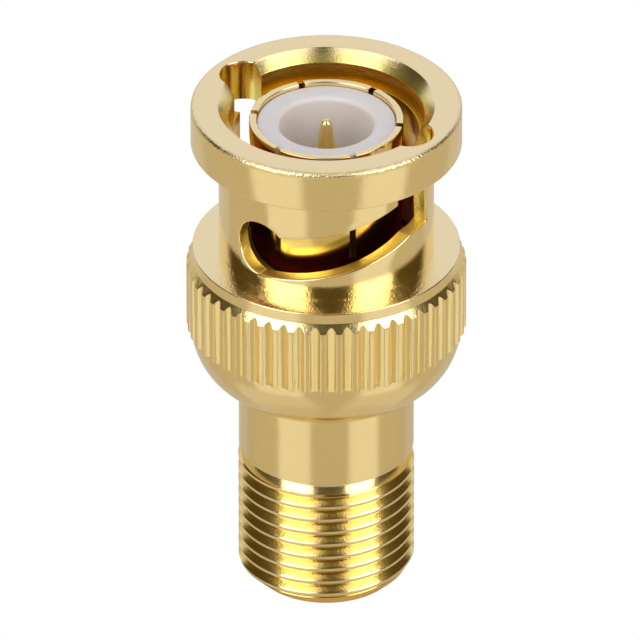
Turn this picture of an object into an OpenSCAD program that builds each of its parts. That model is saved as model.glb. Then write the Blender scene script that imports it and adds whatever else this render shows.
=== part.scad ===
// Coaxial adapter: bayonet plug with a turning, spring-loaded coupling nut on one end,
// threaded F jack on the other. It stands on the face of the F end, plug up.
// Frame: origin at the centre of the F end face, +Z along the axis towards the plug.

/* [F jack shell] */
// Length of the shell, from the F end face to the shoulder that stops the nut
shell_length = 12.45; // [11.5:0.05:15]
// Diameter of the plain shank
shank_d = 9.46; // [9:0.02:10]
// Major diameter of the 3/8-32 thread
thread_d = 9.525; // [9.2:0.005:9.9]
// Length of the thread, from the F end face
thread_length = 7.45; // [5:0.05:9]
// Width of the run-out groove between thread and shank
runout_width = 0.6; // [0.5:0.05:0.8]
// Depth of the run-out groove below the thread's major diameter
runout_depth = 0.3; // [0.1:0.05:0.4]
// Chamfer at the start of the thread
thread_chamfer = 0.87; // [0.3:0.01:1]
// Diameter of the bore that holds the rear insulator
shell_bore_d = 6.8; // [6:0.1:7.4]
// Thickness of the lip that keeps the rear insulator in
lip_thickness = 0.8; // [0.5:0.05:1.5]
// Inside diameter of that lip
lip_d = 5.9; // [5.3:0.1:6.2]
// Depth of the socket that the plug body's spigot is pressed into
spigot_socket_depth = 3.95; // [2.5:0.05:4.5]

/* [Coupling nut] */
// Diameter of the head ring
head_d = 14.54; // [14:0.02:15.6]
// Height of the head ring
head_height = 2.34; // [1.8:0.02:3]
// Rounding of the head ring's top edge
head_edge = 0.26; // [0.1:0.02:0.5]
// Rounding of the head's lower edge and of the collar's edge
small_edge = 0.08; // [0.02:0.01:0.15]
// Diameter of the mouth at the front face
mouth_d = 11.64; // [10.6:0.02:12.2]
// Depth of the mouth's cone
mouth_depth = 0.6; // [0.2:0.05:0.8]
// Bore of the head ring, behind the cone
head_bore_d = 10.52; // [10.3:0.02:11]
// Depth of that bore from the front face
head_bore_depth = 1.6; // [1:0.1:2.2]
// Bore that clears the mating barrel
nut_bore_d = 9.9; // [9.8:0.02:10.2]
// Diameter of the neck
neck_d = 11.55; // [11.2:0.05:12]
// Length of the neck
neck_length = 6.47; // [6:0.01:8]
// Diameter of the smooth band above the knurl
collar_d = 14.4; // [13.6:0.05:14.8]
// Height of that band
collar_height = 0.62; // [0.3:0.02:1.2]
// Height of the cone between band and knurl
collar_cone_height = 0.46; // [0.2:0.01:0.8]
// Diameter over the knurl
knurl_d = 15.06; // [14.9:0.02:16]
// Height of the knurl
knurl_height = 3.73; // [2.5:0.01:5]
// Number of grooves round the knurl
knurl_count = 54; // [36:1:64]
// Depth of a groove
knurl_depth = 0.22; // [0.1:0.02:0.3]
// Width of a groove at its mouth
knurl_groove_width = 0.55; // [0.3:0.01:0.6]
// Turn of the first groove from +X
knurl_phase = -88; // [-90:0.5:-83]
// Diameter of the rounded back where it meets the knurl
back_top_d = 14.6; // [13.8:0.05:14.8]
// Diameter of the rounded back at its rear face
back_bottom_d = 9.56; // [9.2:0.02:10.5]
// Height of the rounded back
back_height = 3.21; // [2.6:0.01:4]
// Height of the washer floor above the nut's rear face
floor_height = 3.1; // [2.4:0.05:3.4]

/* [Bayonet slots] */
// Diameter of the two round lead-in channels
channel_d = 2.6; // [2.2:0.05:3]
// Distance of a channel's centre in from the head's outer surface
channel_offset = 1.9; // [1.7:0.01:2.2]
// Angle of the first channel from +X
channel_angle = -34.5; // [-60:0.5:0]
// Depth of the channel's floor below the front face
channel_depth = 6.05; // [5.6:0.05:6.8]
// Turn from the channel to the locking pocket
cam_sweep = 93.5; // [80:0.5:110]
// Width of the cam slot along the axis
cam_width = 2.54; // [2.1:0.02:2.6]
// Depth of the slot's middle line where it leaves the channel
cam_start_depth = 4.6; // [4.2:0.02:4.8]
// Depth of the slot's middle line where it enters the pocket
cam_end_depth = 6.69; // [6.2:0.01:6.9]
// Share of the cam's rise that runs straight, the rest bends as a parabola
cam_straight_share = 0.44; // [0.2:0.02:1]
// Diameter of the round locking pocket
pocket_d = 3.2; // [2.6:0.05:3.4]
// Depth of the pocket's centre below the front face
pocket_depth = 6.35; // [6:0.05:6.7]

/* [Washers and gasket] */
// Thickness of the flat thrust washer
thrust_thickness = 0.3; // [0.2:0.05:0.5]
// Thickness of a wave washer's strip
wave_strip = 0.2; // [0.12:0.02:0.3]
// Height of one wave washer as fitted
wave_height = 1.15; // [0.8:0.05:1.4]
// Number of waves in a washer
wave_count = 3; // [2:1:5]
// Thickness of the face gasket
gasket_thickness = 0.9; // [0.5:0.05:1.3]

/* [Plug body] */
// Diameter of the spigot that the nut turns on
spigot_d = 7.76; // [7.3:0.02:8]
// Thickness of the flange in front of the washers
flange_thickness = 1; // [0.6:0.05:1.6]
// Height of the boss that carries the outer contact
boss_height = 2; // [1.2:0.1:3]
// Bore through the plug body
body_bore_d = 6; // [5:0.1:6.3]

/* [Outer contact] */
// Length from the flange to the finger tips
contact_length = 9.18; // [8.6:0.02:10]
// Outside diameter over the finger tips
contact_tip_d = 8.28; // [8.2:0.02:8.4]
// Wall of a finger
finger_wall = 0.39; // [0.25:0.01:0.45]
// Rounding of a finger's two tip edges
finger_edge = 0.06; // [0.02:0.01:0.12]
// Spread of the tips beyond the tube, on the radius
finger_spread = 0.09; // [0:0.01:0.15]
// Length over which the fingers spread
finger_flare_length = 1; // [0.6:0.1:2]
// Length of the straight land at the tips, with the lip
finger_land_length = 0.9; // [0.6:0.1:1.2]
// Number of slots between the fingers, an even number
finger_slot_count = 6; // [4:2:8]
// Width of a slot
finger_slot_width = 0.36; // [0.2:0.02:0.5]
// Length of a slot
finger_slot_length = 6.4; // [4:0.1:6.8]
// Angle of the first slot from +X
finger_slot_angle = 50.4; // [0:0.2:60]

/* [Insulators] */
// Depth of the front insulator's face below the finger tips
insulator_recess = 0.22; // [0:0.02:0.6]
// Bore of the front insulator's open end
insulator_bore_d = 5.1; // [4.8:0.02:5.3]
// Depth of that bore
insulator_bore_depth = 5.38; // [4.6:0.02:5.6]
// Rounding of the edge round that bore
insulator_edge = 0.3; // [0.05:0.01:0.4]
// Rounding of the front insulator's outer edge
insulator_rim = 0.06; // [0.02:0.01:0.2]
// Radial gap between the fingers and the front insulator
finger_gap = 0.03; // [0.02:0.01:0.1]
// Length of the front insulator's tail inside the boss
insulator_tail = 2.2; // [1:0.1:3]
// Hole in the rear insulator's nose where the cable's wire enters
wire_entry_d = 1.5; // [1.2:0.05:1.8]
// Thickness of the rear insulator's nose wall
nose_thickness = 1.25; // [1:0.05:2]

/* [Centre contact] */
// Diameter of the male pin
pin_d = 1.35; // [1.3:0.01:1.38]
// Depth of the pin's tip below the finger tips
pin_recess = 0.04; // [0:0.01:0.5]
// Length of the pin's taper
pin_taper = 1.9; // [1.5:0.1:3.2]
// Diameter of the blunt tip
pin_tip_d = 0.5; // [0.3:0.02:0.6]
// Diameter of the rod behind the pin, through the front insulator
rod_d = 1.8; // [1.7:0.05:2]
// Diameter of the collar behind the front insulator
contact_collar_d = 2.6; // [2.2:0.1:3.4]
// Length of that collar
contact_collar_length = 1.3; // [0.6:0.1:2]
// Outside diameter of the F socket
f_socket_d = 2.2; // [1.9:0.05:2.6]
// Bore of the F socket
f_socket_bore_d = 1; // [0.8:0.02:1.1]
// Depth of the F socket's bore
f_socket_depth = 5.5; // [4:0.1:6]
// Width of the cross slot that makes the socket spring
f_socket_slot_width = 0.25; // [0.15:0.01:0.3]
// Length of that slot
f_socket_slot_length = 4; // [2:0.1:5]

/* [Clearances] */
// Radial gap of the nut on the spigot and on the flange
turning_gap = 0.07; // [0.03:0.01:0.1]
// Gap along the axis between the nut and what it bears on
end_gap = 0.02; // [0.01:0.01:0.05]
// Radial gap between a washer or gasket and the piece beside it
washer_gap = 0.08; // [0.04:0.01:0.15]
// Gap round a fixed inner piece
fit_gap = 0.02; // [0.01:0.01:0.04]

/* [Hidden] */
$fn = 96;
over = 1;                 // how far a cutter runs past the surface that it opens
arc_steps = 6;            // steps in a small rounding
back_steps = 14;          // steps in the nut's rounded back
// Section of a knurl groove, from its bottom out past its edge: share of the half width, share of the depth
groove_section = [[0, 1], [0.35, 0.85], [0.8, 0.42], [1.2, -0.42]];
cam_step_angle = 4;       // largest turn between two sections of the cam cutter
cam_run_past = 1.5;       // turn by which the cam cutter runs past the pocket's centre
wave_step_angle = 5;      // turn between two sections of a wave washer

// Radii
shank_r = shank_d / 2;
thread_r = thread_d / 2;
head_r = head_d / 2;
mouth_r = mouth_d / 2;
head_bore_r = head_bore_d / 2;
nut_bore_r = nut_bore_d / 2;
neck_r = neck_d / 2;
collar_r = collar_d / 2;
knurl_r = knurl_d / 2;
spigot_r = spigot_d / 2;
rear_hole_r = spigot_r + turning_gap;
flange_r = nut_bore_r - turning_gap;
body_bore_r = body_bore_d / 2;
tip_r = contact_tip_d / 2;
tube_r = tip_r - finger_spread;
tube_bore_r = tube_r - finger_wall;
pin_r = pin_d / 2;
washer_outer_r = nut_bore_r - 2 * washer_gap;
washer_inner_r = spigot_r + washer_gap;

// Levels of the coupling nut
nut_rear_z = shell_length + end_gap;
floor_z = nut_rear_z + floor_height;
knurl_z = nut_rear_z + back_height;
knurl_top_z = knurl_z + knurl_height;
collar_z = knurl_top_z + collar_cone_height;
neck_z = collar_z + collar_height;
head_z = neck_z + neck_length;
nut_front_z = head_z + head_height;

// Levels of the fixed stack
thrust_z = floor_z + end_gap;
wave_rear_z = thrust_z + thrust_thickness;
wave_front_z = wave_rear_z + wave_height;
flange_z = wave_front_z + wave_height;
gasket_z = flange_z + flange_thickness;
boss_top_z = gasket_z + boss_height;
tip_z = gasket_z + contact_length;
land_z = tip_z - finger_land_length;
flare_z = land_z - finger_flare_length;
spigot_end_z = shell_length - spigot_socket_depth;
insulator_face_z = tip_z - insulator_recess;
insulator_rear_z = boss_top_z - insulator_tail;
insulator_floor_z = insulator_face_z - insulator_bore_depth;
pin_tip_z = tip_z - pin_recess;
contact_collar_z = insulator_rear_z - fit_gap - contact_collar_length;
f_socket_z = nose_thickness + fit_gap;
f_socket_end_z = f_socket_z + f_socket_depth + f_socket_d / 2;

// Points of an arc in the (r, z) plane
function arc(r, z, radius, from, to, steps = arc_steps) =
    [for (i = [0:steps]) let (a = from + (to - from) * i / steps)
        [r + radius * cos(a), z + radius * sin(a)]];

// A point at radius r, angle a and height z
function polar(r, a, z) = [r * cos(a), r * sin(a), z];

// Height of the cam slot's middle line at share t of the way from pocket to channel
function cam_z(t) = nut_front_z - cam_end_depth
    + (cam_end_depth - cam_start_depth) * (cam_straight_share * t + (1 - cam_straight_share) * t * t);

// Side faces of a body made of rings of four points, and its two end faces
function ring_faces(rings, closed) = [for (i = [0:rings - (closed ? 1 : 2)], j = [0:3], half = [0, 1])
    let (a = 4 * i + j, b = 4 * i + (j + 1) % 4,
         c = 4 * ((i + 1) % rings) + (j + 1) % 4, d = 4 * ((i + 1) % rings) + j)
    half == 0 ? [a, b, c] : [a, c, d]];

module ring(inner_r, outer_r, z, height) {
    translate([0, 0, z]) difference() {
        cylinder(r = outer_r, h = height);
        translate([0, 0, -over]) cylinder(r = inner_r, h = height + 2 * over);
    }
}

// Wave washer: a flat strip bent up and down wave_count times round the axis
module wave_washer(z) {
    steps = 360 / wave_step_angle;
    lift = (wave_height - wave_strip) / 2;
    sections = [for (i = [0:steps - 1]) let (a = i * wave_step_angle,
            low = z + lift * (1 + cos(wave_count * a)))
        each [polar(washer_inner_r, a, low), polar(washer_outer_r, a, low),
              polar(washer_outer_r, a, low + wave_strip), polar(washer_inner_r, a, low + wave_strip)]];
    polyhedron(points = sections, faces = ring_faces(steps, true), convexity = 6);
}

// Straight grooves with bellied flanks all round the knurl band, run out through the cone above it
module knurl_grooves() {
    half_angle = asin(knurl_groove_width / 2 / knurl_r);
    half = [for (p = groove_section) [p[0] * half_angle, knurl_r - p[1] * knurl_depth]];
    full = concat([for (i = [len(half) - 1:-1:1]) [-half[i][0], half[i][1]]], half);
    star = [for (i = [0:knurl_count - 1], p = full) let (a = knurl_phase + i * 360 / knurl_count + p[0])
        [p[1] * cos(a), p[1] * sin(a)]];
    translate([0, 0, knurl_z - over / 2]) linear_extrude(knurl_height + collar_cone_height + over / 2)
        difference() {
            circle(r = knurl_r + over);
            polygon(star);
        }
}

// One cam slot: swept from the channel down to the pocket, walls square to the surface
module cam_slot() {
    steps = ceil(cam_sweep / cam_step_angle);
    half = cam_width / 2;
    turn = (cam_sweep + cam_run_past) / steps;
    sections = [for (i = [0:steps]) let (a = channel_angle - i * turn, z = cam_z(1 - i * turn / cam_sweep))
        each [polar(nut_bore_r - over, a, z - half), polar(neck_r + over, a, z - half),
              polar(neck_r + over, a, z + half), polar(nut_bore_r - over, a, z + half)]];
    last = 4 * steps;
    caps = [[3, 2, 1], [3, 1, 0], [last, last + 1, last + 2], [last, last + 2, last + 3]];
    faces = [for (f = concat(ring_faces(steps + 1, false), caps)) [f[2], f[1], f[0]]];
    polyhedron(points = sections, faces = faces, convexity = 4);
}

// Lead-in channel for a lug, open at the front face, with a flat floor
module lug_channel() {
    rotate(channel_angle) translate([head_r - channel_offset, 0, nut_front_z - channel_depth])
        cylinder(d = channel_d, h = channel_depth + over);
}

// Round pocket that the lug drops back into
module lug_pocket() {
    rotate(channel_angle - cam_sweep) translate([nut_bore_r - over, 0, nut_front_z - pocket_depth])
        rotate([0, 90, 0]) cylinder(d = pocket_d, h = neck_r - nut_bore_r + 2 * over);
}

module coupling_nut() {
    back_run = (back_top_d - back_bottom_d) / 2;
    back = [for (i = [0:back_steps]) let (a = 90 * i / back_steps)
        [back_bottom_d / 2 + back_run * sin(a), knurl_z - back_height * cos(a)]];
    outline = concat(
        [[rear_hole_r, nut_rear_z]], back,
        [[knurl_r, knurl_z], [knurl_r, knurl_top_z], [collar_r, collar_z]],
        arc(collar_r - small_edge, neck_z - small_edge, small_edge, 0, 90),
        [[neck_r, neck_z], [neck_r, head_z]],
        arc(head_r - small_edge, head_z + small_edge, small_edge, -90, 0),
        arc(head_r - head_edge, nut_front_z - head_edge, head_edge, 0, 90),
        [[mouth_r, nut_front_z], [head_bore_r, nut_front_z - mouth_depth],
         [head_bore_r, nut_front_z - head_bore_depth], [nut_bore_r, nut_front_z - head_bore_depth],
         [nut_bore_r, floor_z], [rear_hole_r, floor_z]]);
    color([0.86, 0.72, 0.42]) difference() {
        rotate_extrude() polygon(outline);
        knurl_grooves();
        for (side = [0, 180]) rotate(side) {
            lug_channel();
            cam_slot();
            lug_pocket();
        }
    }
}

// Flanged tube: spigot behind, boss for the outer contact in front
module plug_body() {
    color([0.82, 0.68, 0.40]) rotate_extrude() polygon([
        [body_bore_r, spigot_end_z], [spigot_r, spigot_end_z], [spigot_r, flange_z],
        [flange_r, flange_z], [flange_r, gasket_z], [tube_bore_r, gasket_z],
        [tube_bore_r, boss_top_z], [body_bore_r, boss_top_z]]);
}

// Slotted tube whose fingers spread a little and end in a straight land
module outer_contact() {
    color([0.84, 0.70, 0.40]) difference() {
        rotate_extrude() polygon(concat(
            [[tube_bore_r, gasket_z], [tube_r, gasket_z], [tube_r, flare_z], [tip_r, land_z]],
            arc(tip_r - finger_edge, tip_z - finger_edge, finger_edge, 0, 90),
            arc(tip_r - finger_wall + finger_edge, tip_z - finger_edge, finger_edge, 90, 180),
            [[tip_r - finger_wall, land_z], [tube_bore_r, flare_z]]));
        for (i = [0:finger_slot_count / 2 - 1])
            rotate(finger_slot_angle + i * 360 / finger_slot_count)
                translate([-tip_r - over, -finger_slot_width / 2, tip_z - finger_slot_length])
                    cube([2 * (tip_r + over), finger_slot_width, finger_slot_length + over]);
    }
}

module face_gasket() {
    color([0.75, 0.72, 0.66]) ring(tube_r + fit_gap, washer_outer_r, gasket_z, gasket_thickness);
}

module wave_washer_front() {
    color([0.72, 0.72, 0.74]) wave_washer(wave_front_z);
}

module wave_washer_rear() {
    color([0.72, 0.72, 0.74]) wave_washer(wave_rear_z);
}

module thrust_washer() {
    color([0.70, 0.70, 0.72]) ring(washer_inner_r, washer_outer_r, thrust_z, thrust_thickness);
}

// Cup round the male pin, with a tail that seats inside the boss; it widens with the fingers
module front_insulator() {
    wall_r = tube_bore_r - finger_gap;
    face_r = wall_r + finger_spread;
    bore_r = insulator_bore_d / 2;
    hole_r = rod_d / 2 + fit_gap / 2;
    tail_r = body_bore_r - fit_gap;
    color([0.93, 0.92, 0.89]) rotate_extrude() polygon(concat(
        [[hole_r, insulator_rear_z], [tail_r, insulator_rear_z], [tail_r, boss_top_z],
         [wall_r, boss_top_z], [wall_r, flare_z], [face_r, land_z]],
        arc(face_r - insulator_rim, insulator_face_z - insulator_rim, insulator_rim, 0, 90),
        arc(bore_r + insulator_edge, insulator_face_z - insulator_edge, insulator_edge, 90, 180),
        [[bore_r, insulator_floor_z], [hole_r, insulator_floor_z]]));
}

// Plug round the F socket, kept in by the shell's lip and by the spigot's end
module rear_insulator() {
    body_r = shell_bore_d / 2 - fit_gap;
    nose_r = lip_d / 2 - fit_gap;
    entry_r = wire_entry_d / 2;
    bore_r = f_socket_d / 2 + fit_gap;
    funnel = nose_thickness / 3;
    color([0.93, 0.92, 0.89]) rotate_extrude() polygon([
        [entry_r + funnel, fit_gap], [nose_r, fit_gap], [nose_r, lip_thickness + fit_gap],
        [body_r, lip_thickness + fit_gap], [body_r, spigot_end_z - fit_gap],
        [bore_r, spigot_end_z - fit_gap], [bore_r, nose_thickness], [entry_r, nose_thickness],
        [entry_r, fit_gap + funnel]]);
}

// One turned piece: male pin in front, rod and collar, slotted socket behind
module centre_contact() {
    socket_r = f_socket_d / 2;
    bore_r = f_socket_bore_d / 2;
    tip_radius = pin_tip_d / 2;
    collar_r = contact_collar_d / 2;
    rod_r = rod_d / 2;
    color([0.84, 0.66, 0.32]) difference() {
        rotate_extrude() polygon(concat(
            [[0, f_socket_z], [socket_r, f_socket_z], [socket_r, f_socket_end_z],
             [rod_r, f_socket_end_z + socket_r - rod_r], [rod_r, contact_collar_z],
             [collar_r, contact_collar_z], [collar_r, contact_collar_z + contact_collar_length],
             [rod_r, contact_collar_z + contact_collar_length], [rod_r, insulator_floor_z],
             [pin_r, insulator_floor_z], [pin_r, pin_tip_z - pin_taper]],
            arc(0, pin_tip_z - tip_radius, tip_radius, 0, 90)));
        translate([0, 0, f_socket_z - over]) cylinder(r = bore_r, h = f_socket_depth + over);
        translate([-socket_r - over, -f_socket_slot_width / 2, f_socket_z - over])
            cube([2 * (socket_r + over), f_socket_slot_width, f_socket_slot_length + over]);
    }
}

// Threaded F jack, pressed onto the spigot, whose front end stops the nut
module jack_shell() {
    bore_r = shell_bore_d / 2;
    runout_r = thread_r - runout_depth;
    runout_z = thread_length + runout_depth;
    color([0.84, 0.71, 0.42]) rotate_extrude() polygon([
        [lip_d / 2, 0], [thread_r - thread_chamfer, 0], [thread_r, thread_chamfer],
        [thread_r, thread_length], [runout_r, runout_z], [runout_r, thread_length + runout_width],
        [shank_r, thread_length + runout_width], [shank_r, shell_length],
        [spigot_r, shell_length], [spigot_r, spigot_end_z], [bore_r, spigot_end_z],
        [bore_r, lip_thickness], [lip_d / 2, lip_thickness]]);
}

coupling_nut();
plug_body();
outer_contact();
face_gasket();
wave_washer_front();
wave_washer_rear();
thrust_washer();
front_insulator();
rear_insulator();
centre_contact();
jack_shell();
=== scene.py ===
"""Looks for a coaxial adapter: bayonet plug with a turning coupling nut in front, F jack behind.

Objects are in metres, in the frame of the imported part: +Z runs from the F end to the plug.
Sizes of the pieces are in millimetres and degrees, those of the studio in metres. The pieces that are
turned and then milled are made in the same order here: an outline is turned into a blank, then cuts
repeated round the axis are taken out.
"""
import math

import bmesh
import bpy
from mathutils import Matrix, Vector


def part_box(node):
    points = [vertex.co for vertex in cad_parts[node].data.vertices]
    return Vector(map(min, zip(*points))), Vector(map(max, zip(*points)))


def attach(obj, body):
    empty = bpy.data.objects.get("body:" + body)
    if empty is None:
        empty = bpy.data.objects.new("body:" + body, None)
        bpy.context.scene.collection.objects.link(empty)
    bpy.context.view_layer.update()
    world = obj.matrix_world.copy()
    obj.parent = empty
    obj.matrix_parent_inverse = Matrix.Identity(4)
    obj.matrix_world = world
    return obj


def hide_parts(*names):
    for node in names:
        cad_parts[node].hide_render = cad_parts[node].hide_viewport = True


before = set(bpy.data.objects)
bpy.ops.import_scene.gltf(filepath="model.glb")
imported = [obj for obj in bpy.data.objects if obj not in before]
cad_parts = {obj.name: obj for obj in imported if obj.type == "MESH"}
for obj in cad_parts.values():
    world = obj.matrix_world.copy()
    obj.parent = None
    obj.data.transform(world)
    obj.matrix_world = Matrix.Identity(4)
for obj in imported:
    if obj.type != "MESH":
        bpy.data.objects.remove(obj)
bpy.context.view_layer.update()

MM = 0.001
MERGE_DISTANCE = 0.0001 * MM
OVER = 1.0                # how far a cutter stands past what it cuts


def levels(node):
    """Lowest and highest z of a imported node, in mm."""
    low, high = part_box(node)
    return low.z / MM, high.z / MM


# ---------------------------------------------------------------- node helpers

class Value:
    """A node socket that can be used in Python expressions; each operator adds a Math node."""

    def __init__(self, tree, socket):
        self.tree = tree
        self.socket = socket

    def math(self, operation, *others):
        return self.tree.node("ShaderNodeMath", {"operation": operation}, self, *others)

    def __add__(self, other):
        return self.math("ADD", other)

    __radd__ = __add__

    def __sub__(self, other):
        return self.math("SUBTRACT", other)

    def __rsub__(self, other):
        return self.tree.node("ShaderNodeMath", {"operation": "SUBTRACT"}, other, self)

    def __mul__(self, other):
        return self.math("MULTIPLY", other)

    __rmul__ = __mul__

    def __truediv__(self, other):
        return self.math("DIVIDE", other)

    def least(self, other):
        return self.math("MINIMUM", other)

    def most(self, other):
        return self.math("MAXIMUM", other)

    def ramp(self, low, high):
        """0 at low, 1 at high, smooth between; low may be the larger one."""
        share = ((self - low) / (high - low)).most(0).least(1)
        return share * share * (3 - 2 * share)


class Tree:
    """Builds a node tree from calls; a node's inputs are numbers, colours, data or Values."""

    def __init__(self, owner):
        self.nodes = owner.nodes
        self.links = owner.links

    def node(self, kind, settings=None, *inputs, out=0, **named):
        node = self.nodes.new(kind)
        for name, value in (settings or {}).items():
            setattr(node, name, value)
        for socket, given in zip([s for s in node.inputs if s.enabled], inputs):
            self.feed(socket, given)
        for name, given in named.items():
            self.feed(node.inputs[name.replace("_", " ")], given)
        if isinstance(out, str):
            return Value(self, node.outputs[out])
        return Value(self, [s for s in node.outputs if s.enabled][out])

    def feed(self, socket, given):
        if isinstance(given, Value):
            self.links.new(given.socket, socket)
        elif given is not None:
            socket.default_value = given

    def mix(self, share, first, second):
        """Colour between first and second."""
        node = self.nodes.new("ShaderNodeMix")
        node.data_type = "RGBA"
        for index, given in ((0, share), (6, first), (7, second)):
            self.feed(node.inputs[index], (*given, 1.0) if isinstance(given, tuple) else given)
        return Value(self, node.outputs[2])

    def parts(self, vector):
        node = self.nodes.new("ShaderNodeSeparateXYZ")
        self.feed(node.inputs[0], vector)
        return [Value(self, s) for s in node.outputs]

    def joined(self, x, y, z):
        return self.node("ShaderNodeCombineXYZ", None, x, y, z)

    def noise(self, vector, scale, detail=2.0):
        return self.node("ShaderNodeTexNoise", None, Vector=vector, Scale=scale, Detail=detail)


# ---------------------------------------------------------------- mesh helpers

def mesh_object(name, vertices, faces):
    mesh = bpy.data.meshes.new(name)
    mesh.from_pydata(vertices, [], faces)
    item = bpy.data.objects.new(name, mesh)
    bpy.context.scene.collection.objects.link(item)
    return item


def polar(radius, angle, z):
    """A point in metres."""
    a = math.radians(angle)
    return (radius * math.cos(a) * MM, radius * math.sin(a) * MM, z * MM)


def arc(r, z, radius, start, end, steps=5):
    """Points of an arc in the (radius, height) plane."""
    angles = [math.radians(start + (end - start) * i / steps) for i in range(steps + 1)]
    return [(r + radius * math.cos(a), z + radius * math.sin(a)) for a in angles]


def drop(item):
    mesh = item.data
    bpy.data.objects.remove(item)
    bpy.data.meshes.remove(mesh)


def face_outwards(item):
    """Joins doubled points and turns every face outwards."""
    work = bmesh.new()
    work.from_mesh(item.data)
    bmesh.ops.remove_doubles(work, verts=work.verts, dist=MERGE_DISTANCE)
    bmesh.ops.recalc_face_normals(work, faces=work.faces)
    work.to_mesh(item.data)
    work.free()


def add_tree(item, group, **values):
    """Adds a Geometry Nodes modifier and sets its inputs by the sockets' identifiers."""
    modifier = item.modifiers.new(group.name, "NODES")
    modifier.node_group = group
    for socket in group.interface.items_tree:
        key = socket.name.lower().replace(" ", "_")
        if socket.in_out == "INPUT" and key in values:
            modifier[socket.identifier] = values[key]


def bake(item):
    """Replaces the item's mesh by what its modifiers make of it."""
    bpy.context.view_layer.update()
    shaped = bpy.data.meshes.new_from_object(item.evaluated_get(bpy.context.evaluated_depsgraph_get()))
    old = item.data
    item.modifiers.clear()
    item.data = shaped
    bpy.data.meshes.remove(old)
    shaped.name = item.name


def new_group(name, inputs):
    group = bpy.data.node_groups.new(name, "GeometryNodeTree")
    group.interface.new_socket(name="Geometry", in_out="OUTPUT", socket_type="NodeSocketGeometry")
    for label, kind in inputs:
        group.interface.new_socket(name=label, in_out="INPUT", socket_type="NodeSocket" + kind)
    tree = Tree(group)
    source = group.nodes.new("NodeGroupInput")
    sockets = {s.name: Value(tree, s) for s in source.outputs if s.name}
    return group, tree, sockets


def end_group(tree, geometry, material):
    """Realize Instances, Set Material and the group's output."""
    plain = tree.node("GeometryNodeRealizeInstances", None, geometry)
    dressed = tree.node("GeometryNodeSetMaterial", None, plain, Material=material)
    tree.links.new(dressed.socket, tree.nodes.new("NodeGroupOutput").inputs[0])


def lathe_group():
    """Turns an outline into a closed surface. Each outline point is (radius, threaded, height).

    Threaded points rise by the lead in one turn. They stay between the F end and the run-out's end,
    and inside the chamfer at the start and the groove at the run-out.
    """
    group, tree, given = new_group("lathe", (
        ("Geometry", "Geometry"), ("Columns", "Int"), ("Rows", "Int"), ("Lead", "Float"),
        ("Start Radius", "Float"), ("Thread Radius", "Float"), ("Groove Start", "Float"),
        ("Groove End", "Float"), ("Groove Radius", "Float"), ("Material", "Material")))
    columns, rows = given["Columns"], given["Rows"]
    grid = tree.node("GeometryNodeMeshGrid", None, Vertices_X=columns + 1, Vertices_Y=rows + 1)
    index = tree.node("GeometryNodeInputIndex")
    column = (index / (rows + 1)).math("FLOOR")
    row = (index - column * (rows + 1)).math("FLOORED_MODULO", rows)
    sample = tree.nodes.new("GeometryNodeSampleIndex")
    sample.data_type = "FLOAT_VECTOR"
    tree.feed(sample.inputs["Geometry"], given["Geometry"])
    tree.feed(sample.inputs["Value"], tree.node("GeometryNodeInputPosition"))
    tree.feed(sample.inputs["Index"], row)
    radius, threaded, height = tree.parts(Value(tree, sample.outputs[0]))

    turn = column / columns
    risen = (height + given["Lead"] * turn).most(0).least(given["Groove End"])
    groove = (given["Thread Radius"] - (risen - given["Groove Start"]).most(0)).most(given["Groove Radius"])
    inside = radius.least(given["Start Radius"] + risen).least(groove)
    height = height + (risen - height) * threaded
    radius = radius + (inside - radius) * threaded
    angle = turn * math.tau
    place = tree.joined(radius * angle.math("COSINE"), radius * angle.math("SINE"), height)
    placed = tree.node("GeometryNodeSetPosition", None, grid, Position=place)
    merged = tree.node("GeometryNodeMergeByDistance", None, placed, Distance=MERGE_DISTANCE)
    end_group(tree, merged, given["Material"])
    return group


def repeat_cut_group():
    """Cuts copies of one cutter, spaced evenly round the axis, out of a blank."""
    group, tree, given = new_group("repeat_cut", (
        ("Geometry", "Geometry"), ("Cutter", "Object"), ("Count", "Int"), ("First Angle", "Float"),
        ("Material", "Material")))
    cutter = tree.node("GeometryNodeObjectInfo", None, given["Cutter"], out="Geometry")
    spots = tree.node("GeometryNodePoints", None, given["Count"])
    angle = tree.node("GeometryNodeInputIndex") / given["Count"] * math.tau + given["First Angle"]
    rotation = tree.node("FunctionNodeEulerToRotation", None, tree.joined(0.0, 0.0, angle))
    copies = tree.node("GeometryNodeInstanceOnPoints", None, spots, Instance=cutter, Rotation=rotation)
    solid = tree.node("GeometryNodeRealizeInstances", None, copies)
    boolean = tree.nodes.new("GeometryNodeMeshBoolean")
    boolean.operation = "DIFFERENCE"
    boolean.solver = "MANIFOLD"
    tree.feed(boolean.inputs[0], given["Geometry"])
    tree.feed(boolean.inputs[1], solid)
    end_group(tree, Value(tree, boolean.outputs[0]), given["Material"])
    return group


SHARP_ANGLE = 34
LATHE = lathe_group()
REPEAT_CUT = repeat_cut_group()


def turned(name, outline, columns, material, **thread):
    """A blank turned from a closed outline of (radius, height) or (radius, threaded, height)."""
    points = [(p[0] * MM, float(p[1] if len(p) == 3 else 0), p[-1] * MM) for p in outline]
    blank = mesh_object(name, points, [])
    values = {key: value * MM for key, value in thread.items()}
    add_tree(blank, LATHE, columns=columns, rows=len(points), material=material, **values)
    bake(blank)
    face_outwards(blank)
    return blank


def cut(blank, cutter, count, first_angle, material):
    """Takes the cutter out of the blank at each place round the axis."""
    face_outwards(cutter)
    add_tree(blank, REPEAT_CUT, cutter=cutter, count=count, first_angle=math.radians(first_angle),
             material=material)
    bake(blank)
    drop(cutter)


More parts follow.
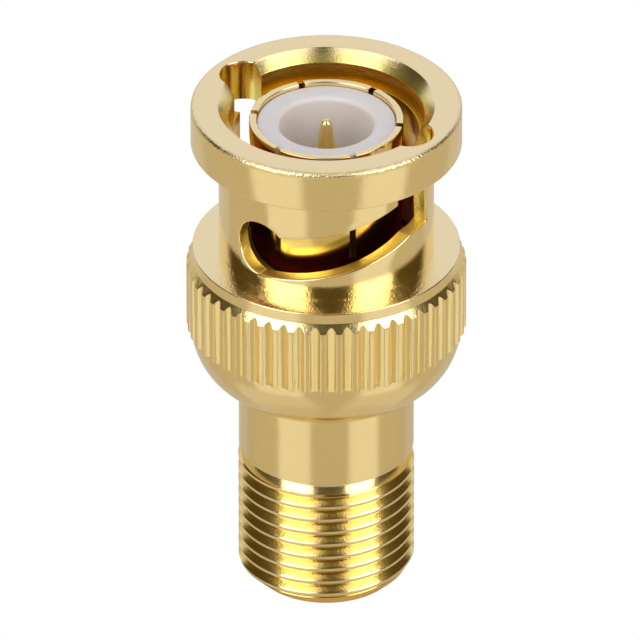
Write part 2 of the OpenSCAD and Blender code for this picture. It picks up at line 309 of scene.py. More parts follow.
def swept(name, sections):
    """A closed solid through sections, which all have the same number of points."""
    count = len(sections[0])
    last = (len(sections) - 1) * count
    faces = []
    for low in range(0, last, count):
        high = low + count
        for j in range(count):
            after = (j + 1) % count
            faces.append((low + j, high + j, high + after, low + after))
    faces.append(tuple(range(count)))
    faces.append(tuple(last + j for j in range(count)))
    return mesh_object(name, [p for section in sections for p in section], faces)


def blade(name, length, width, low, high):
    """A flat cutter across the axis, between two heights."""
    reach, half = length / 2, width / 2
    corners = [(-reach, -half), (reach, -half), (reach, half), (-reach, half)]
    return swept(name, [[(x * MM, y * MM, z * MM) for x, y in corners] for z in (low, high)])


def turn_matrix(angle):
    return Matrix.Rotation(math.radians(angle), 4, "Z")


def smooth(item):
    """Smooth shading, with sharp edges kept crisp."""
    item.data.shade_smooth()
    item.data.set_sharp_from_angle(angle=math.radians(SHARP_ANGLE))


# ---------------------------------------------------------------- finishes

GOLD = (0.93, 0.75, 0.37)            # fresh plate on the outer faces
PALE_GOLD = (0.97, 0.89, 0.64)       # painted light: paler gold on the run-out beside the thread
DEEP_GOLD = (0.96, 0.79, 0.24)       # painted reflection: slot walls and knurl grooves, which mostly see other gold
THREAD_GOLD = (0.93, 0.65, 0.15)     # painted reflection: deeper gold in the thread's grooves, where gold faces gold
TUBE_GOLD = (0.95, 0.70, 0.17)       # painted reflection: deeper gold on the contact's tube below the finger tips
PIN_GOLD = (0.95, 0.68, 0.20)        # painted reflection: deeper gold on the pin below its tip
DARK_GOLD = (0.62, 0.36, 0.02)       # painted shade and reflection inside the head's bore, darker than the plate
MAROON_SHADE = (0.33, 0.04, 0.008)    # painted shade at the bottom of the nut, where little light comes
# Painted shade, a second tone, for streaks along the turning lines inside the nut.
MAROON_SHADE_STREAK = (0.24, 0.06, 0.015)
PLASTIC, PLASTIC_SHADE = (0.74, 0.70, 0.62), (0.69, 0.65, 0.57)
# Painted light: the insulator's bore is lighter than its face.
PLASTIC_BORE = (0.82, 0.77, 0.69)
PLASTIC_HIDDEN = (0.03, 0.006, 0.002)   # painted shade: the insulator's side low behind the finger slots, nearly black
SILICONE, SILICONE_BLOOM = (0.42, 0.38, 0.33), (0.52, 0.48, 0.42)
STEEL, STEEL_SHADE = (0.66, 0.66, 0.67), (0.52, 0.52, 0.54)


def new_material(name):
    material = bpy.data.materials.new(name)
    material.use_nodes = True
    material.node_tree.nodes.clear()
    return material, Tree(material.node_tree)


def close_material(tree, shader):
    output = tree.nodes.new("ShaderNodeOutputMaterial")
    tree.links.new(shader.socket, output.inputs["Surface"])


def place(tree):
    """Where a point is on its piece, in mm."""
    return [c / MM for c in tree.parts(tree.node("ShaderNodeTexCoord", out="Object"))]


def from_axis(x, y):
    return (x * x + y * y).math("SQRT")


def turning_marks(tree, x, y, z, pitch):
    """Fine lines round the axis, on flats and on cylinders, a little broken along their length."""
    angle = y.math("ARCTAN2", x)
    return tree.noise(tree.joined(angle * 1.6, from_axis(x, y) / pitch, z / pitch), 1.0)


def nicked(tree, x, y, z):
    """Fine grain of the plate, 0 to 1."""
    return tree.noise(tree.joined(x, y, z), 8.0, 3.0)


def bump(tree, relief):
    """Surface direction under a relief given in thousandths of a millimetre."""
    return tree.node("ShaderNodeBump", None, Strength=1.0, Distance=0.001 * MM, Height=relief)


def metal(tree, colour, roughness, relief):
    """Closes a material as metal; relief is in thousandths of a millimetre."""
    close_material(tree, tree.node(
        "ShaderNodeBsdfPrincipled", Base_Color=colour, Metallic=1.0, Roughness=roughness,
        Normal=bump(tree, relief)))


def nut_finish():
    """Bright outside, knurl with broaching scratches; painted reflection as deeper gold in the slots and
    the bore, painted shade as darker gold in the bore and maroon at the bottom.
    """
    material, tree = new_material("nut_gold")
    x, y, z = place(tree)
    radius = from_axis(x, y)
    lines = turning_marks(tree, x, y, z, 0.09)
    scratches = tree.noise(tree.joined(x * 7, y * 7, z * 0.5), 1.0)
    cloud = tree.noise(tree.joined(x, y, z), 0.55)
    nicks = nicked(tree, x, y, z)

    # Inside faces: neck and head below their surface, the slots' walls, the bore, the mouth's cone
    in_neck = radius.ramp(NECK_R - 0.02, NECK_R - 0.14) * z.ramp(NUT_FRONT - 0.6, NUT_FRONT - 1.2)
    in_head = (radius.ramp(HEAD_R - 0.27, HEAD_R - 0.47) * z.ramp(HEAD_Z + 0.05, HEAD_Z + 0.2)
               * z.ramp(NUT_FRONT - 0.05, NUT_FRONT - 0.5))
    in_slot = in_neck * radius.ramp(NUT_BORE_R + 0.02, NUT_BORE_R + 0.08)
    in_bore = (radius.ramp(HEAD_BORE_R + 0.04, HEAD_BORE_R) * z.ramp(NUT_FRONT - 0.7, NUT_FRONT - 1.2)
               * (1 - in_slot * z.ramp(HEAD_Z + 0.6, HEAD_Z + 0.3)))
    in_bottom = in_bore * z.ramp(NUT_FRONT - 3.0, NUT_FRONT - 4.5)
    in_mouth = radius.ramp(MOUTH_R + 0.02, MOUTH_R - 0.05) * z.ramp(NUT_FRONT - 0.75, NUT_FRONT - 0.65)
    # Outside faces: the knurl, its grooves and the cone above it, and the edges that get knocked
    on_knurl = z.ramp(KNURL_Z - 0.1, KNURL_Z + 0.2) * z.ramp(COLLAR_Z + 0.1, COLLAR_Z - 0.1)
    in_groove = on_knurl * radius.ramp(KNURL_R - 0.03, KNURL_R - 0.16)
    on_cone = z.ramp(KNURL_TOP_Z - 0.02, KNURL_TOP_Z + 0.04) * z.ramp(COLLAR_Z + 0.02, COLLAR_Z - 0.04)
    on_head_edge = radius.ramp(HEAD_R - 0.32, HEAD_R - 0.22) * z.ramp(NUT_FRONT - 0.34, NUT_FRONT - 0.22)
    on_collar_edge = z.ramp(NECK_Z + 0.2, NECK_Z) * z.ramp(NECK_Z - 0.2, NECK_Z - 0.08)

    # Painted reflection: deeper gold in the slots, the channels through the head and the knurl's grooves.
    colour = tree.mix(in_neck.most(in_head).most(in_groove * 0.35), GOLD, DEEP_GOLD)
    # Painted shade and reflection: dark gold inside the head's bore.
    colour = tree.mix(in_bore, colour, DARK_GOLD)
    # Painted shade: maroon at the nut's bottom.
    colour = tree.mix(in_bottom, colour, MAROON_SHADE)
    turning = lines * (1 - on_knurl) * (1 - in_slot) * (1 + in_mouth * 4)
    knocks = nicks * (6 + on_head_edge * 40 + on_collar_edge * 10 + in_slot * 24)
    roughness = (0.11 + cloud * 0.05 + on_knurl * 0.05 + on_cone * 0.03 + in_slot * 0.2 + in_head * 0.06
                 + in_mouth * 0.06)
    metal(tree, colour, roughness, turning + scratches * on_knurl * 5 + knocks)
    return material


def shell_finish():
    """Fine turned gold; painted reflection makes the thread's grooves deeper in colour than its crests,
    painted light makes the run-out paler.
    """
    material, tree = new_material("shell_gold")
    x, y, z = place(tree)
    radius = from_axis(x, y)
    lines = turning_marks(tree, x, y, z, 0.07)
    nicks = nicked(tree, x, y, z)
    past_thread = z.ramp(THREAD_LENGTH - 0.02, THREAD_LENGTH + 0.02)
    in_groove = (1 - past_thread) * radius.ramp(THREAD_R - 0.02, THREAD_R - 0.08)
    in_runout = past_thread * radius.ramp(SHANK_R - 0.02, SHANK_R - 0.05)
    # Painted reflection: deeper gold in the thread's grooves.
    colour = tree.mix(in_groove, GOLD, THREAD_GOLD)
    # Painted light: paler gold on the run-out.
    colour = tree.mix(in_runout, colour, PALE_GOLD)
    roughness = 0.13 + lines * 0.06 + in_groove * 0.05
    metal(tree, colour, roughness, lines + nicks * (4 + in_groove * 3))
    return material


def contact_finish():
    """Bright at the fingers' tips, with painted reflection as deeper gold down the tube."""
    material, tree = new_material("contact_gold")
    x, y, z = place(tree)
    lines = turning_marks(tree, x, y, z, 0.08)
    outside = from_axis(x, y).ramp(TIP_R - 0.2, TIP_R - 0.05)
    low_outside = outside * z.ramp(CONTACT_TIP - 0.3, CONTACT_TIP - 2.5)
    # Painted reflection: deeper gold low down the tube's outside.
    colour = tree.mix(low_outside, GOLD, TUBE_GOLD)
    metal(tree, colour, 0.13 + lines * 0.05, lines * 0.4)
    return material


def body_finish():
    """Plain gold plate on the spigot, painted shade inside the nut as deep red gold."""
    material, tree = new_material("body_gold")
    x, y, z = place(tree)
    lines = turning_marks(tree, x, y, z, 0.1)
    # Painted shade: maroon on the spigot inside the nut, streaked along the turning lines.
    inside = tree.mix(lines, MAROON_SHADE_STREAK, MAROON_SHADE)
    colour = tree.mix(z.ramp(FLOOR_Z, FLOOR_Z + 0.3), GOLD, inside)
    metal(tree, colour, 0.2 + lines * 0.1, lines * 0.6)
    return material


def pin_finish():
    """Turned pin; painted reflection makes it deeper gold below its rounded tip, so the tip reads brighter.
    """
    material, tree = new_material("pin_gold")
    x, y, z = place(tree)
    lines = turning_marks(tree, x, y, z, 0.06)
    below_tip = z.ramp(PIN_TIP - 0.1, PIN_TIP - 0.7)
    # Painted reflection: deeper gold below the tip.
    colour = tree.mix(below_tip, GOLD, PIN_GOLD)
    metal(tree, colour, 0.2 + lines * 0.08, lines * 0.5)
    return material


def insulator_finish():
    """Satin moulded plastic, slightly warm, with faint turning marks and mottling; painted light makes its
    bore lighter and painted shade makes its side nearly black low behind the finger slots.
    """
    material, tree = new_material("insulator_white")
    x, y, z = place(tree)
    radius = from_axis(x, y)
    lines = turning_marks(tree, x, y, z, 0.12)
    cloud = tree.noise(tree.joined(x, y, z), 0.8, 3.0)
    in_bore = radius.ramp(INSULATOR_BORE_R + 0.2, INSULATOR_BORE_R)
    low_outside = (radius.ramp(INSULATOR_R - 0.33, INSULATOR_R - 0.13)
                   * z.ramp(CONTACT_TIP - 1.0, CONTACT_TIP - 3.0))
    colour = tree.mix(cloud, PLASTIC, PLASTIC_SHADE)
    # Painted light: the bore is lighter than the plastic's face.
    colour = tree.mix(in_bore, colour, PLASTIC_BORE)
    # Painted shade: nearly black low on the side behind the finger slots.
    colour = tree.mix(low_outside, colour, PLASTIC_HIDDEN)
    close_material(tree, tree.node(
        "ShaderNodeBsdfPrincipled", Base_Color=colour, Roughness=0.42 + lines * 0.12,
        Normal=bump(tree, lines * 0.6), Subsurface_Weight=0.15, Subsurface_Radius=(0.001, 0.0008, 0.0006),
        Subsurface_Scale=1.0))
    return material


def gasket_finish():
    """Soft silicone with a faint bloom."""
    material, tree = new_material("gasket_silicone")
    bloom = tree.noise(tree.joined(*place(tree)), 1.5, 4.0)
    colour = tree.mix(bloom, SILICONE_BLOOM, SILICONE)
    close_material(tree, tree.node(
        "ShaderNodeBsdfPrincipled", Base_Color=colour, Roughness=0.45 + bloom * 0.15,
        Normal=bump(tree, bloom * 2)))
    return material


def spring_finish():
    """Bright spring strip, with rolling lines across it."""
    material, tree = new_material("spring_steel")
    x, y, z = place(tree)
    rolling = tree.noise(tree.joined(x * 12, y * 0.6, z), 1.0)
    metal(tree, tree.mix(rolling, STEEL, STEEL_SHADE), 0.22 + rolling * 0.14, rolling * 0.8)
    return material


# ---------------------------------------------------------------- coupling nut

NUT_REAR, NUT_FRONT = levels("coupling_nut")
REAR_HOLE_R, NUT_BORE_R, HEAD_BORE_R, MOUTH_R = 3.95, 4.95, 5.26, 5.82
NECK_R, HEAD_R, COLLAR_R, KNURL_R = 5.775, 7.27, 7.2, 7.53
BACK_BOTTOM_R, BACK_TOP_R = 4.78, 7.3
FLOOR_Z = NUT_REAR + 3.1
KNURL_Z = NUT_REAR + 3.21
KNURL_TOP_Z = KNURL_Z + 3.73
COLLAR_Z = KNURL_TOP_Z + 0.46
NECK_Z = COLLAR_Z + 0.62
HEAD_Z = NUT_FRONT - 2.34
MOUTH_DEPTH, HEAD_BORE_DEPTH = 0.6, 1.6
HEAD_EDGE, SMALL_EDGE, FINE_EDGE = 0.26, 0.08, 0.04
CONE_EDGE, CONE_EDGE_DEPTH = 0.02, 0.015
BACK_STEPS = 28
NUT_COLUMNS = 432

KNURL_COUNT, KNURL_DEPTH, KNURL_PHASE = 54, 0.22, -88
GROOVE_HALF_WIDTH = 0.275
GROOVE_HALF_ANGLE = math.degrees(math.asin(GROOVE_HALF_WIDTH / KNURL_R))
# Share of the half width and of the depth, from the bottom of a groove to past its rounded mouth
GROOVE_SECTION = ((0, 1), (0.35, 0.85), (0.8, 0.42), (0.97, 0.12), (1.08, 0.03), (1.2, -0.05), (1.2, -2))

CHANNEL_R, CHANNEL_OFFSET, CHANNEL_ANGLE, CHANNEL_DEPTH = 1.3, 5.37, -34.5, 6.05
CAM_SWEEP, CAM_HALF_WIDTH, CAM_STRAIGHT_SHARE = 93.5, 1.27, 0.44
CAM_START_DEPTH, CAM_END_DEPTH, CAM_RUN_PAST, CAM_STEPS = 4.6, 6.69, 1.5, 48
POCKET_R, POCKET_DEPTH, POCKET_STEPS = 1.6, 6.35, 64
SLOT_EDGE = 0.07
FLARE_ANGLES = (0, 22, 45, 67, 88)
LIP_REACH, LIP_OFFSET, LIP_GAP = 0.11, 1.2, 0.01
BAR_STEPS = 96


def nut_outline():
    """Once round the nut's section, from the rear hole up the outside and down the bore."""
    step_z = NUT_FRONT - HEAD_BORE_DEPTH
    back = []
    for i in range(1, BACK_STEPS + 1):
        a = math.radians(90 * i / BACK_STEPS)
        back.append((BACK_BOTTOM_R + (BACK_TOP_R - BACK_BOTTOM_R) * math.sin(a),
                     KNURL_Z - (KNURL_Z - NUT_REAR) * math.cos(a)))
    cone = math.degrees(math.atan2(MOUTH_DEPTH, MOUTH_R - HEAD_BORE_R))
    return (
        [(REAR_HOLE_R, NUT_REAR)]
        + arc(BACK_BOTTOM_R - FINE_EDGE, NUT_REAR + FINE_EDGE, FINE_EDGE, -90, -10, 3)
        + back
        + arc(KNURL_R - FINE_EDGE, KNURL_Z + FINE_EDGE, FINE_EDGE, -90, 0, 4)
        + [(KNURL_R, KNURL_Z + (KNURL_TOP_Z - KNURL_Z) * i / 4) for i in range(1, 4)]
        + [(KNURL_R, KNURL_TOP_Z - CONE_EDGE), (KNURL_R - CONE_EDGE_DEPTH, KNURL_TOP_Z + CONE_EDGE / 2)]
        + [(COLLAR_R + CONE_EDGE_DEPTH, COLLAR_Z - CONE_EDGE), (COLLAR_R, COLLAR_Z + CONE_EDGE)]
        + arc(COLLAR_R - SMALL_EDGE, NECK_Z - SMALL_EDGE, SMALL_EDGE, 0, 90)
        + [(NECK_R, NECK_Z + (HEAD_Z - NECK_Z) * i / 8) for i in range(8)]
        + arc(NECK_R + SMALL_EDGE, HEAD_Z - SMALL_EDGE, SMALL_EDGE, 180, 90, 4)
        + arc(HEAD_R - SMALL_EDGE, HEAD_Z + SMALL_EDGE, SMALL_EDGE, -90, 0)
        + arc(HEAD_R - HEAD_EDGE, NUT_FRONT - HEAD_EDGE, HEAD_EDGE, 0, 90, 8)
        + arc(MOUTH_R + FINE_EDGE, NUT_FRONT - FINE_EDGE, FINE_EDGE, 90, 90 + cone, 3)
        + arc(HEAD_BORE_R + FINE_EDGE, NUT_FRONT - MOUTH_DEPTH - FINE_EDGE, FINE_EDGE, 90 + cone, 180, 4)
        + [(HEAD_BORE_R, step_z)]
        + arc(NUT_BORE_R + FINE_EDGE, step_z - FINE_EDGE, FINE_EDGE, 90, 180, 4)
        + [(NUT_BORE_R, FLOOR_Z + (step_z - FLOOR_Z) * i / 8) for i in range(7, -1, -1)]
        + [(REAR_HOLE_R, FLOOR_Z)]
    )


def groove_cutter():
    half = [(share * GROOVE_HALF_ANGLE, KNURL_R - depth * KNURL_DEPTH) for share, depth in GROOVE_SECTION]
    full = [(-a, r) for a, r in reversed(half[1:])] + half
    return swept("groove", [[polar(r, a, z) for a, r in full] for z in (KNURL_Z - OVER, COLLAR_Z)])


def cam_z(share):
    """Height of the cam slot's middle line; share runs from 0 at the pocket to 1 at the channel."""
    rise = CAM_STRAIGHT_SHARE * share + (1 - CAM_STRAIGHT_SHARE) * share * share
    return NUT_FRONT - CAM_END_DEPTH + (CAM_END_DEPTH - CAM_START_DEPTH) * rise


def rounded_wall(half_width):
    """(radius, distance from the slot's middle) from inside the bore out through a rounded lip."""
    inner = [(NUT_BORE_R - OVER, half_width + SLOT_EDGE), (NUT_BORE_R - 0.002, half_width + SLOT_EDGE)]
    for step in range(1, 5):
        a = math.radians(90 * step / 4)
        inner.append((NUT_BORE_R + SLOT_EDGE * (1 - math.cos(a)),
                      half_width + SLOT_EDGE * (1 - math.sin(a))))
    outer = [(NECK_R - (r - NUT_BORE_R), w) for r, w in reversed(inner[1:])]
    return inner + outer + [(NECK_R + OVER, half_width + SLOT_EDGE)]


def cam_cutter():
    """The slot from the channel down to the pocket, swept round the axis."""
    upper = rounded_wall(CAM_HALF_WIDTH)
    lower = [(r, -w) for r, w in reversed(upper)]
    sections = []
    for i in range(CAM_STEPS + 1):
        turn = (CAM_SWEEP + CAM_RUN_PAST) * i / CAM_STEPS
        z = cam_z(1 - turn / CAM_SWEEP)
        sections.append([polar(r, CHANNEL_ANGLE - turn, z + w) for r, w in upper + lower])
    return swept("cam", sections)


def pocket_cutter():
    """Round pocket bored along a radius; its lips follow the curve of the neck."""
    centre = NUT_FRONT - POCKET_DEPTH
    rings = []
    for level, reach in rounded_wall(POCKET_R):
        ring = []
        for i in range(POCKET_STEPS):
            a = math.tau * i / POCKET_STEPS
            side = reach * math.cos(a)
            outward = math.sqrt(level * level - side * side)
            ring.append((outward * MM, side * MM, (centre + reach * math.sin(a)) * MM))
        rings.append(ring)
    pocket = swept("pocket", rings)
    pocket.data.transform(turn_matrix(CHANNEL_ANGLE - CAM_SWEEP))
    return pocket


def round_bar(name, offset, rings):
    """A bar parallel to the axis at the first channel's angle; rings are (radius, height)."""
    angles = [math.tau * i / BAR_STEPS for i in range(BAR_STEPS)]
    bar = swept(name, [[((offset + r * math.cos(a)) * MM, r * math.sin(a) * MM, z * MM) for a in angles]
                       for r, z in rings])
    bar.data.transform(turn_matrix(CHANNEL_ANGLE))
    return bar


def channel_cutter():
    """A lug's way in: a round bar with a flared mouth."""
    flare = []
    for angle in FLARE_ANGLES:
        a = math.radians(angle)
        flare.append((CHANNEL_R + SLOT_EDGE - SLOT_EDGE * math.cos(a),
                      NUT_FRONT - SLOT_EDGE + SLOT_EDGE * math.sin(a)))
    return round_bar("channel", CHANNEL_OFFSET, (
        [(CHANNEL_R, NUT_FRONT - CHANNEL_DEPTH)] + flare + [(CHANNEL_R + SLOT_EDGE, NUT_FRONT + OVER)]))


def lip_cutter():
    """Breaks the two long edges where a channel opens through the neck."""
    offset = CHANNEL_OFFSET + LIP_OFFSET
    side = CHANNEL_R + LIP_REACH
    radius = math.hypot(offset - math.sqrt(NECK_R ** 2 - side ** 2), side)
    return round_bar("lip", offset, [(radius, NUT_FRONT - CHANNEL_DEPTH), (radius, HEAD_Z - LIP_GAP)])


def make_nut():
    nut = turned("bayonet_nut", nut_outline(), NUT_COLUMNS, nut_gold)
    cut(nut, groove_cutter(), KNURL_COUNT, KNURL_PHASE, nut_gold)
    cut(nut, channel_cutter(), 2, 0, nut_gold)
    cut(nut, lip_cutter(), 2, 0, nut_gold)
    cut(nut, cam_cutter(), 2, 0, nut_gold)
    cut(nut, pocket_cutter(), 2, 0, nut_gold)
    smooth(nut)
    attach(nut, "nut")
    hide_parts("coupling_nut")


# ---------------------------------------------------------------- outer contact

CONTACT_REAR, CONTACT_TIP = levels("outer_contact")
TIP_R, TUBE_R, FINGER_WALL, FINGER_EDGE = 4.14, 4.05, 0.39, 0.06
LAND_LENGTH, FLARE_LENGTH = 0.9, 1.0
SLOT_PAIRS, SLOT_WIDTH, SLOT_LENGTH, SLOT_ANGLE = 3, 0.36, 6.4, 50.4
CONTACT_COLUMNS = 360
INSULATOR_R, INSULATOR_BORE_R = 3.63, 2.55


def make_contact():
    bore_r = TUBE_R - FINGER_WALL
    land_z = CONTACT_TIP - LAND_LENGTH
    flare_z = land_z - FLARE_LENGTH
    outline = (
        [(bore_r, CONTACT_REAR), (TUBE_R, CONTACT_REAR)]
        + [(TUBE_R, CONTACT_REAR + (flare_z - CONTACT_REAR) * i / 6) for i in range(1, 7)]
        + [(TIP_R, land_z)]
        + arc(TIP_R - FINGER_EDGE, CONTACT_TIP - FINGER_EDGE, FINGER_EDGE, 0, 90, 4)
        + arc(TIP_R - FINGER_WALL + FINGER_EDGE, CONTACT_TIP - FINGER_EDGE, FINGER_EDGE, 90, 180, 4)
        + [(TIP_R - FINGER_WALL, land_z), (bore_r, flare_z)]
    )
    contact = turned("spring_fingers", outline, CONTACT_COLUMNS, contact_gold)
    saw = blade("finger_saw", 2 * (TIP_R + OVER), SLOT_WIDTH, CONTACT_TIP - SLOT_LENGTH, CONTACT_TIP + OVER)
    cut(contact, saw, SLOT_PAIRS, SLOT_ANGLE, contact_gold)
    smooth(contact)
    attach(contact, "adapter_body")
    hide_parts("outer_contact")


# ---------------------------------------------------------------- centre contact

PIN_REAR, PIN_TIP = levels("centre_contact")
F_SOCKET_R, F_SOCKET_BORE_R, F_SOCKET_DEPTH = 1.1, 0.5, 5.5
TINE_SLOT_WIDTH, TINE_SLOT_LENGTH = 0.25, 4
ROD_R, PIN_R, PIN_COLLAR_R = 0.9, 0.675, 1.3
PIN_COLLAR_DEPTH, PIN_COLLAR_LENGTH, PIN_LENGTH = 10.66, 1.3, 5.56
PIN_POINT_LENGTH, PIN_POINT_R, PIN_TIP_R, PIN_SHOULDER = 1.9, 0.5, 0.31, 0.06
AXIS_R = 0.002            # the lathe's outlines stop just short of the axis
PIN_COLUMNS = 96


def make_pin():
    socket_end = PIN_REAR + F_SOCKET_DEPTH + F_SOCKET_R
    collar_z = PIN_TIP - PIN_COLLAR_DEPTH
    outline = (
        [(AXIS_R, PIN_REAR + F_SOCKET_DEPTH), (F_SOCKET_BORE_R, PIN_REAR + F_SOCKET_DEPTH)]
        + [(F_SOCKET_BORE_R, PIN_REAR), (F_SOCKET_R, PIN_REAR), (F_SOCKET_R, socket_end)]
        + [(ROD_R, socket_end + F_SOCKET_R - ROD_R), (ROD_R, collar_z)]
        + [(PIN_COLLAR_R, collar_z), (PIN_COLLAR_R, collar_z + PIN_COLLAR_LENGTH)]
        + [(ROD_R, collar_z + PIN_COLLAR_LENGTH), (ROD_R, PIN_TIP - PIN_LENGTH)]
        + [(PIN_R, PIN_TIP - PIN_LENGTH)]
        + [(PIN_R, PIN_TIP - PIN_POINT_LENGTH), (PIN_POINT_R, PIN_TIP - PIN_POINT_LENGTH + PIN_SHOULDER)]
        + arc(0, PIN_TIP - PIN_TIP_R, PIN_TIP_R, 5, 89, 8)
        + [(AXIS_R, PIN_TIP)]
    )
    pin = turned("turned_pin", outline, PIN_COLUMNS, pin_gold)
    saw = blade("tine_saw", 2 * (F_SOCKET_R + OVER), TINE_SLOT_WIDTH,
                PIN_REAR - OVER, PIN_REAR + TINE_SLOT_LENGTH)
    cut(pin, saw, 1, 0, pin_gold)
    smooth(pin)
    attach(pin, "adapter_body")
    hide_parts("centre_contact")


# ---------------------------------------------------------------- F jack shell

SHELL_TOP = levels("jack_shell")[1]
SHANK_R, THREAD_R, THREAD_LENGTH = 4.73, 4.7625, 7.45
PITCH = 25.4 / 32
THREAD_DEPTH, THREAD_CHAMFER, RUNOUT_DEPTH, RUNOUT_WIDTH = 0.34, 0.87, 0.45, 0.6
RUNOUT_END = THREAD_LENGTH + RUNOUT_WIDTH
BLANK_RUNOUT_END = RUNOUT_END - 0.05    # the ring cut widens the blank's own run-out to its full size
RING_DEPTH = 0.01
SHELL_COLUMNS = 240
CREST_Z = 0.475           # height of a crest's middle on the +X side
# One pitch of the thread: share of the pitch past a crest's middle, share of the depth
THREAD_SECTION = (
    (-0.11, 0.05), (-0.1, 0.01), (-0.09, 0), (0.1, 0), (0.12, 0.037),
    (0.50, 0.88), (0.525, 0.94), (0.555, 0.985), (0.59, 1), (0.62, 0.985), (0.64, 0.92), (0.655, 0.86),
    (0.835, 0.13))
LIP_R, LIP_THICKNESS, SHELL_BORE_R, SPIGOT_R, SOCKET_DEPTH = 2.95, 0.8, 3.4, 3.88, 3.95


def make_shell():
    turns = range(-3, int(RUNOUT_END / PITCH) + 2)
    groove_r = THREAD_R - RUNOUT_DEPTH
    thread = [(THREAD_R - THREAD_DEPTH * depth, 1, CREST_Z + (turn + share) * PITCH)
              for turn in turns for share, depth in THREAD_SECTION]
    outline = (
        [(LIP_R, 0), (THREAD_R - THREAD_CHAMFER, 0)]
        + thread
        + [(groove_r, BLANK_RUNOUT_END), (SHANK_R, BLANK_RUNOUT_END)]
        + [(SHANK_R, RUNOUT_END + (SHELL_TOP - RUNOUT_END) * i / 6) for i in range(1, 6)]
        + arc(SHANK_R - FINE_EDGE, SHELL_TOP - FINE_EDGE, FINE_EDGE, 0, 90, 4)
        + [(SPIGOT_R, SHELL_TOP), (SPIGOT_R, SHELL_TOP - SOCKET_DEPTH)]
        + [(SHELL_BORE_R, SHELL_TOP - SOCKET_DEPTH), (SHELL_BORE_R, LIP_THICKNESS), (LIP_R, LIP_THICKNESS)]
    )
    shell = turned("threaded_shell", outline, SHELL_COLUMNS, shell_gold, lead=PITCH,
                   start_radius=THREAD_R - THREAD_CHAMFER, thread_radius=THREAD_R,
                   groove_start=THREAD_LENGTH, groove_end=BLANK_RUNOUT_END, groove_radius=groove_r)
    inner, outer = groove_r - RING_DEPTH, SHANK_R + OVER
    ring = [(inner, THREAD_LENGTH), (outer, THREAD_LENGTH), (outer, RUNOUT_END), (inner, RUNOUT_END)]
    cut(shell, turned("runout", ring, SHELL_COLUMNS, shell_gold), 1, 0, shell_gold)
    smooth(shell)
    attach(shell, "adapter_body")
    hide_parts("jack_shell")


# ---------------------------------------------------------------- making

nut_gold = nut_finish()
shell_gold = shell_finish()
contact_gold = contact_finish()
pin_gold = pin_finish()
inner_white = insulator_finish()
spring = spring_finish()
finishes = {
    "plug_body": body_finish(),
    "front_insulator": inner_white,
    "rear_insulator": inner_white,
    "face_gasket": gasket_finish(),
    "wave_washer_front": spring,
    "wave_washer_rear": spring,
    "thrust_washer": spring,
}
for node, material in finishes.items():
    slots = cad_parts[node].data.materials
    slots.clear()
    slots.append(material)

make_nut()
make_contact()
make_pin()
make_shell()


# ---------------------------------------------------------------- studio

CAMERA_ELEVATION = math.radians(32.05)
CAMERA_DISTANCE = 0.95
AIM = (-0.34 * MM, 0, 15.64 * MM)
LENS = 991.8              # focal length in millimetres

camera = bpy.data.objects.new("camera", bpy.data.cameras.new("camera"))
camera.data.lens = LENS
camera.data.sensor_width = 36
camera.data.clip_start = 0.01
camera.location = (
    AIM[0],
    AIM[1] - CAMERA_DISTANCE * math.cos(CAMERA_ELEVATION),
    AIM[2] + CAMERA_DISTANCE * math.sin(CAMERA_ELEVATION),
)
camera.rotation_euler = (math.pi / 2 - CAMERA_ELEVATION, 0, 0)
bpy.context.scene.collection.objects.link(camera)
bpy.context.scene.camera = camera
bpy.context.scene.view_settings.view_transform = "Standard"


def direction(azimuth, elevation):
    """Unit vector; azimuth 0 points at the camera's side, positive to the right."""
    a, e = math.radians(azimuth), math.radians(elevation)
    return (math.sin(a) * math.cos(e), -math.cos(a) * math.cos(e), math.sin(e))


def glow(name, colour, strength):
    material, tree = new_material(name)
    close_material(tree, tree.node("ShaderNodeEmission", None, (*colour, 1), strength))
    return material


def dome_patch(name, radius, elevations, low_edge, high_edge, material):
    """Part of a sphere round the object; its edges are azimuths at the lowest and highest level."""
    steps = 16
    vertices = []
    for i in range(steps + 1):
        for j in range(steps + 1):
            up = j / steps
            edges = [low + (high - low) * up for low, high in zip(low_edge, high_edge)]
            azimuth = edges[0] + (edges[1] - edges[0]) * i / steps
            elevation = elevations[0] + (elevations[1] - elevations[0]) * up
            vertices.append([radius * c for c in direction(azimuth, elevation)])
    row = steps + 1
    faces = [(i * row + j, i * row + j + 1, (i + 1) * row + j + 1, (i + 1) * row + j)
             for i in range(steps) for j in range(steps)]
    patch = mesh_object(name, vertices, faces)
    patch.data.materials.append(material)
    patch.visible_camera = False


STUDIO_RADIUS, BACKDROP_RADIUS = 2.0, 2.1
WARM_ROOM = (0.07, 0.05, 0.013)
PAPER = (0.62, 0.52, 0.33)
PAPER_SHEEN, SHEEN_SHARE = (0.93, 1, 0.98), 0.13
WHITE_IN_METAL = 0.15     # how much of the floor's white the metal sees
FLOOR_REACH = 3           # from the axis to each edge

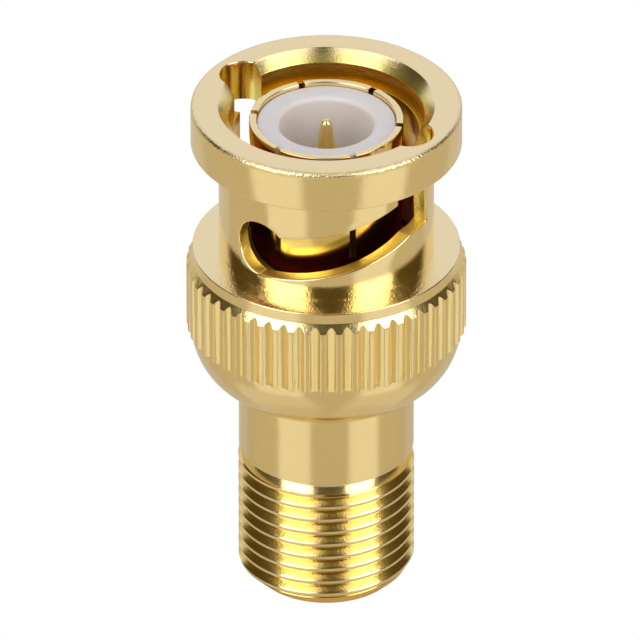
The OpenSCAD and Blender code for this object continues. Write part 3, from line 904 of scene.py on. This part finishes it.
strong = glow("softbox_face", (1, 1, 1.15), 3.1)
soft = glow("softbox_top", (1, 1, 1.12), 1.4)
overhead = glow("overhead", (1, 1, 1.1), 0.7)
behind = glow("backdrop", (0.82, 0.84, 1.04), 1.0)
dome_patch("softbox_left", STUDIO_RADIUS, (8, 44), (-66, -21), (-66, -21), strong)
dome_patch("softbox_right", STUDIO_RADIUS, (8, 44), (30, 72), (30, 72), strong)
dome_patch("softbox_left_top", STUDIO_RADIUS, (44, 66), (-95, -18), (-125, -8), soft)
dome_patch("softbox_right_top", STUDIO_RADIUS, (44, 66), (28, 95), (20, 125), soft)
dome_patch("overhead_left", STUDIO_RADIUS, (66, 88), (-125, -8), (-150, -20), overhead)
dome_patch("overhead_right", STUDIO_RADIUS, (66, 88), (20, 125), (20, 150), overhead)
dome_patch("backdrop", BACKDROP_RADIUS, (0, 70), (128, 232), (128, 232), behind)


def white_for_camera(tree, in_metal, shader):
    """Plain white behind the object, which the metal sees in part."""
    white = tree.node("ShaderNodeEmission", None, (1, 1, 1, 1), 1.0)
    path = tree.nodes.new("ShaderNodeLightPath")
    share = Value(tree, path.outputs["Is Camera Ray"]) + Value(tree, path.outputs["Is Transmission Ray"])
    share = share + Value(tree, path.outputs["Is Glossy Ray"]) * in_metal
    return tree.node("ShaderNodeMixShader", None, share.least(1), shader, white)


floor_material, tree = new_material("floor")
paper = tree.node("ShaderNodeBsdfDiffuse", None, (*PAPER, 1))
sheen = tree.node("ShaderNodeBsdfGlossy", None, (*PAPER_SHEEN, 1), 0.1)
surface = tree.node("ShaderNodeMixShader", None, SHEEN_SHARE, paper, sheen)
close_material(tree, white_for_camera(tree, WHITE_IN_METAL, surface))
corners = [(x * FLOOR_REACH, y * FLOOR_REACH, 0) for x, y in ((-1, -1), (1, -1), (1, 1), (-1, 1))]
floor = mesh_object("floor", corners, [(0, 1, 2, 3)])
floor.data.materials.append(floor_material)

world = bpy.data.worlds.new("studio")
bpy.context.scene.world = world
world.use_nodes = True
world.node_tree.nodes.clear()
tree = Tree(world.node_tree)
room = tree.node("ShaderNodeBackground", None, (*WARM_ROOM, 1), 1.0)
white = tree.node("ShaderNodeBackground", None, (1, 1, 1, 1), 1.0)
camera_ray = tree.node("ShaderNodeLightPath", out="Is Camera Ray")
sky = tree.node("ShaderNodeMixShader", None, camera_ray, room, white)
tree.links.new(sky.socket, tree.nodes.new("ShaderNodeOutputWorld").inputs["Surface"])
bpy.context.scene.cycles.glossy_bounces = 12
bpy.context.scene.cycles.max_bounces = 16
